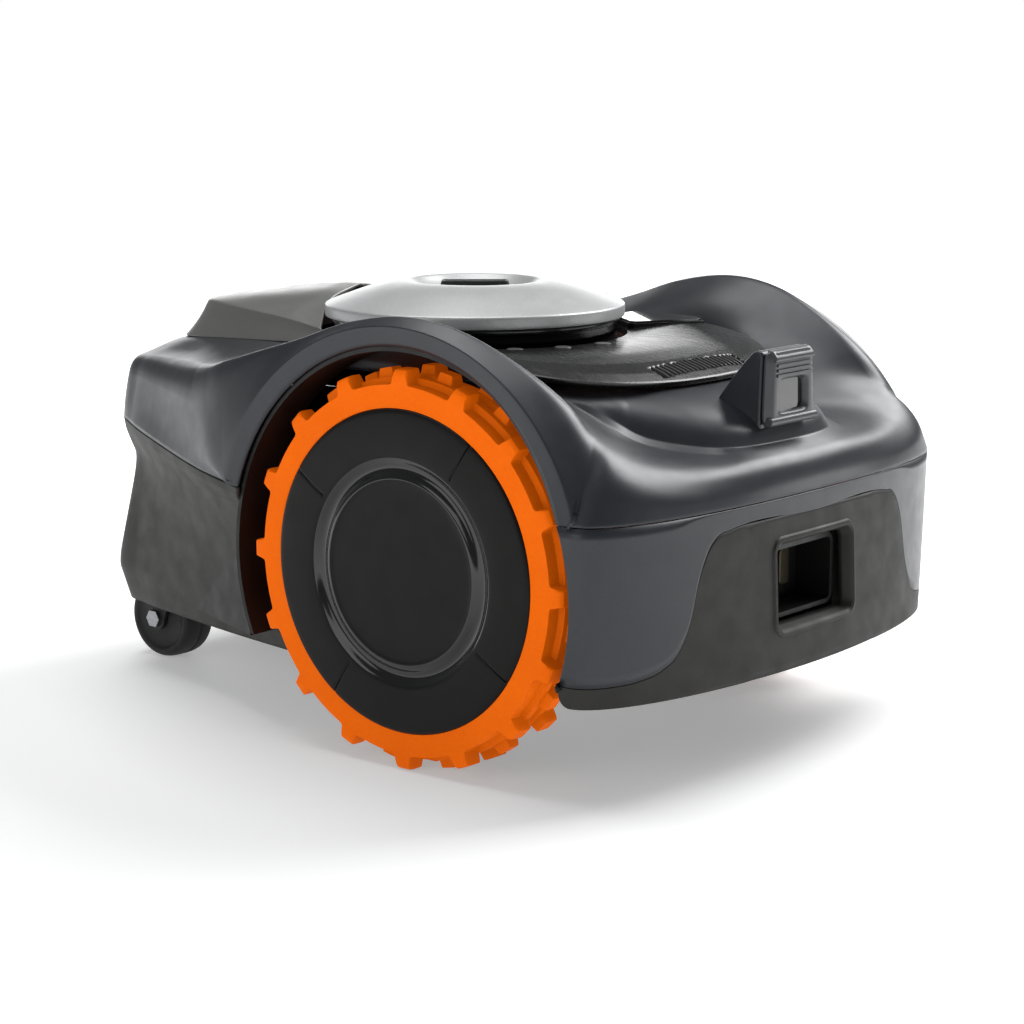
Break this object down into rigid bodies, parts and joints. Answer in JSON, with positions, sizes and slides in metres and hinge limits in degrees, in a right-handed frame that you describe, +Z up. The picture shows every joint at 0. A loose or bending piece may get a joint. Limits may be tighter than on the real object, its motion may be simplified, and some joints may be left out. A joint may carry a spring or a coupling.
{
  "type": "robotic lawn mower",
  "caption": "Self-driving lawn mower with large lugged drive wheels, tail casters, a sprung bumper with charging port, camera pod, height dial and a swinging-blade cutting deck.",
  "frame": {"origin": "on the ground under the middle of the body's length and width", "axes": "-Y is the front with the camera and charging port, +X the mower's left, +Z up"},
  "size_m": [0.386, 0.545, 0.285],
  "materials": {
    "shell_grey": "satin dark blue-grey metallic",
    "trim_dark": "fine matte grain",
    "panel_gloss": "piano black",
    "panel_matte": "matte black",
    "pod_grey": "satin grey",
    "cover_grey": "satin warm grey metallic",
    "dial_silver": "satin silver",
    "grip_black": "matte",
    "tyre_orange": "moulded rubber",
    "hub_black": "satin black",
    "rim_black": "matte",
    "caster_black": "matte",
    "chassis_black": "matte",
    "stop_red": "gloss",
    "key_grey": "matte",
    "display_black": "gloss",
    "lens_glass": "smoked",
    "camera_black": "matte",
    "contact_brass": "plated",
    "steel": "brushed",
    "bearing_bronze": "sintered",
    "motor_steel": "plated can",
    "battery_blue": "shrink sleeve",
    "board_green": "solder mask",
    "antenna_white": "ceramic"
  },
  "bodies": {
    "chassis": {"chassis_tub": "chassis_black", "upper_shell": "shell_grey", "rear_skirt": "trim_dark", "arch_liners": "chassis_black", "top_panel": "panel_gloss", "vent_grille": "panel_matte", "display_module": "panel_matte", "display_glass": "display_black", "pod_housing": "shell_grey", "pod_bezel": "pod_grey", "camera_window": "lens_glass", "camera_module": "camera_black", "rear_cover": "cover_grey", "antenna_module": "antenna_white", "charge_socket": "chassis_black", "charge_contacts": "contact_brass", "battery_pack": "battery_blue", "battery_cover": "trim_dark", "cover_screws": "steel", "control_board": "board_green", "left_drive_motor": "motor_steel", "right_drive_motor": "motor_steel", "axle_bearings": "bearing_bronze", "lift_rods": "steel", "lift_bridge": "chassis_black"},
    "bumper": {"bumper_band": "shell_grey", "bumper_insert": "trim_dark", "bumper_guides": "steel"},
    "dial": {"dial_cap": "dial_silver", "dial_grip": "grip_black", "dial_drum": "panel_gloss", "lift_screw": "steel"},
    "cutting_deck": {"deck_carriage": "chassis_black", "blade_motor": "motor_steel"},
    "blade_rotor": {"blade_disc": "grip_black", "blade_spindle": "steel", "skid_plate": "trim_dark", "blade_pivots": "steel"},
    "blade_1": {"blade_1": "steel"},
    "blade_2": {"blade_2": "steel"},
    "blade_3": {"blade_3": "steel"},
    "stop_button": {"stop_button": "stop_red"},
    "start_key": {"start_key": "key_grey"},
    "home_key": {"home_key": "key_grey"},
    "mow_key": {"mow_key": "key_grey"},
    "left_wheel": {"left_tyre": "tyre_orange", "left_rim": "rim_black", "left_hub_cover": "hub_black", "left_axle": "steel"},
    "left_caster": {"left_caster_fork": "chassis_black", "left_caster_axle": "steel"},
    "left_caster_wheel": {"left_caster_wheel": "caster_black"},
    "right_wheel": {"right_tyre": "tyre_orange", "right_rim": "rim_black", "right_hub_cover": "hub_black", "right_axle": "steel"},
    "right_caster": {"right_caster_fork": "chassis_black", "right_caster_axle": "steel"},
    "right_caster_wheel": {"right_caster_wheel": "caster_black"}
  },
  "joints": [
    {"name": "left_wheel_spin", "type": "hinge", "parent": "chassis", "child": "left_wheel", "pos_m": [0.16, -0.0885, 0.125], "axis": [1, 0, 0], "continuous": true},
    {"name": "left_caster_swivel", "type": "hinge", "parent": "chassis", "child": "left_caster", "pos_m": [0.062, 0.2275, 0.08], "axis": [0, 0, 1], "continuous": true},
    {"name": "left_caster_roll", "type": "hinge", "parent": "left_caster", "child": "left_caster_wheel", "pos_m": [0.062, 0.2425, 0.03], "axis": [1, 0, 0], "continuous": true},
    {"name": "right_wheel_spin", "type": "hinge", "parent": "chassis", "child": "right_wheel", "pos_m": [-0.16, -0.0885, 0.125], "axis": [1, 0, 0], "continuous": true},
    {"name": "right_caster_swivel", "type": "hinge", "parent": "chassis", "child": "right_caster", "pos_m": [-0.062, 0.2275, 0.08], "axis": [0, 0, 1], "continuous": true},
    {"name": "right_caster_roll", "type": "hinge", "parent": "right_caster", "child": "right_caster_wheel", "pos_m": [-0.062, 0.2425, 0.03], "axis": [1, 0, 0], "continuous": true},
    {"name": "deck_lift", "type": "slide", "parent": "chassis", "child": "cutting_deck", "axis": [0, 0, 1], "range_m": [-0.02, 0.02]},
    {"name": "dial_turn", "type": "hinge", "parent": "chassis", "child": "dial", "pos_m": [0, 0.0053, 0.25], "axis": [0, 0, 1], "range_deg": [-136, 136]},
    {"name": "rotor_spin", "type": "hinge", "parent": "cutting_deck", "child": "blade_rotor", "pos_m": [0, 0.0053, 0.06], "axis": [0, 0, 1], "continuous": true},
    {"name": "bumper_press", "type": "slide", "parent": "chassis", "child": "bumper", "axis": [0, 1, 0], "range_m": [0, 0.005], "stiffness_N_per_m": 3000, "springref_m": -0.003},
    {"name": "stop_press", "type": "slide", "parent": "chassis", "child": "stop_button", "axis": [0, 0, -1], "range_m": [0, 0.004], "stiffness_N_per_m": 600, "springref_m": -0.002},
    {"name": "blade_1_swing", "type": "hinge", "parent": "blade_rotor", "child": "blade_1", "pos_m": [0.062, 0.0053, 0.0395], "axis": [0, 0, 1], "range_deg": [-100, 100]},
    {"name": "blade_2_swing", "type": "hinge", "parent": "blade_rotor", "child": "blade_2", "pos_m": [-0.031, 0.05899, 0.0395], "axis": [0, 0, 1], "range_deg": [-100, 100]},
    {"name": "blade_3_swing", "type": "hinge", "parent": "blade_rotor", "child": "blade_3", "pos_m": [-0.031, -0.04839, 0.0395], "axis": [0, 0, 1], "range_deg": [-100, 100]},
    {"name": "start_press", "type": "slide", "parent": "chassis", "child": "start_key", "axis": [0, 0, -1], "range_m": [0, 0.001], "stiffness_N_per_m": 150, "springref_m": -0.001},
    {"name": "home_press", "type": "slide", "parent": "chassis", "child": "home_key", "axis": [0, 0, -1], "range_m": [0, 0.001], "stiffness_N_per_m": 150, "springref_m": -0.001},
    {"name": "mow_press", "type": "slide", "parent": "chassis", "child": "mow_key", "axis": [0, 0, -1], "range_m": [0, 0.001], "stiffness_N_per_m": 150, "springref_m": -0.001}
  ],
  "couplings": [
    {"joint": "dial_turn", "follows": "deck_lift", "rad_per_m": 117.81}
  ]
}
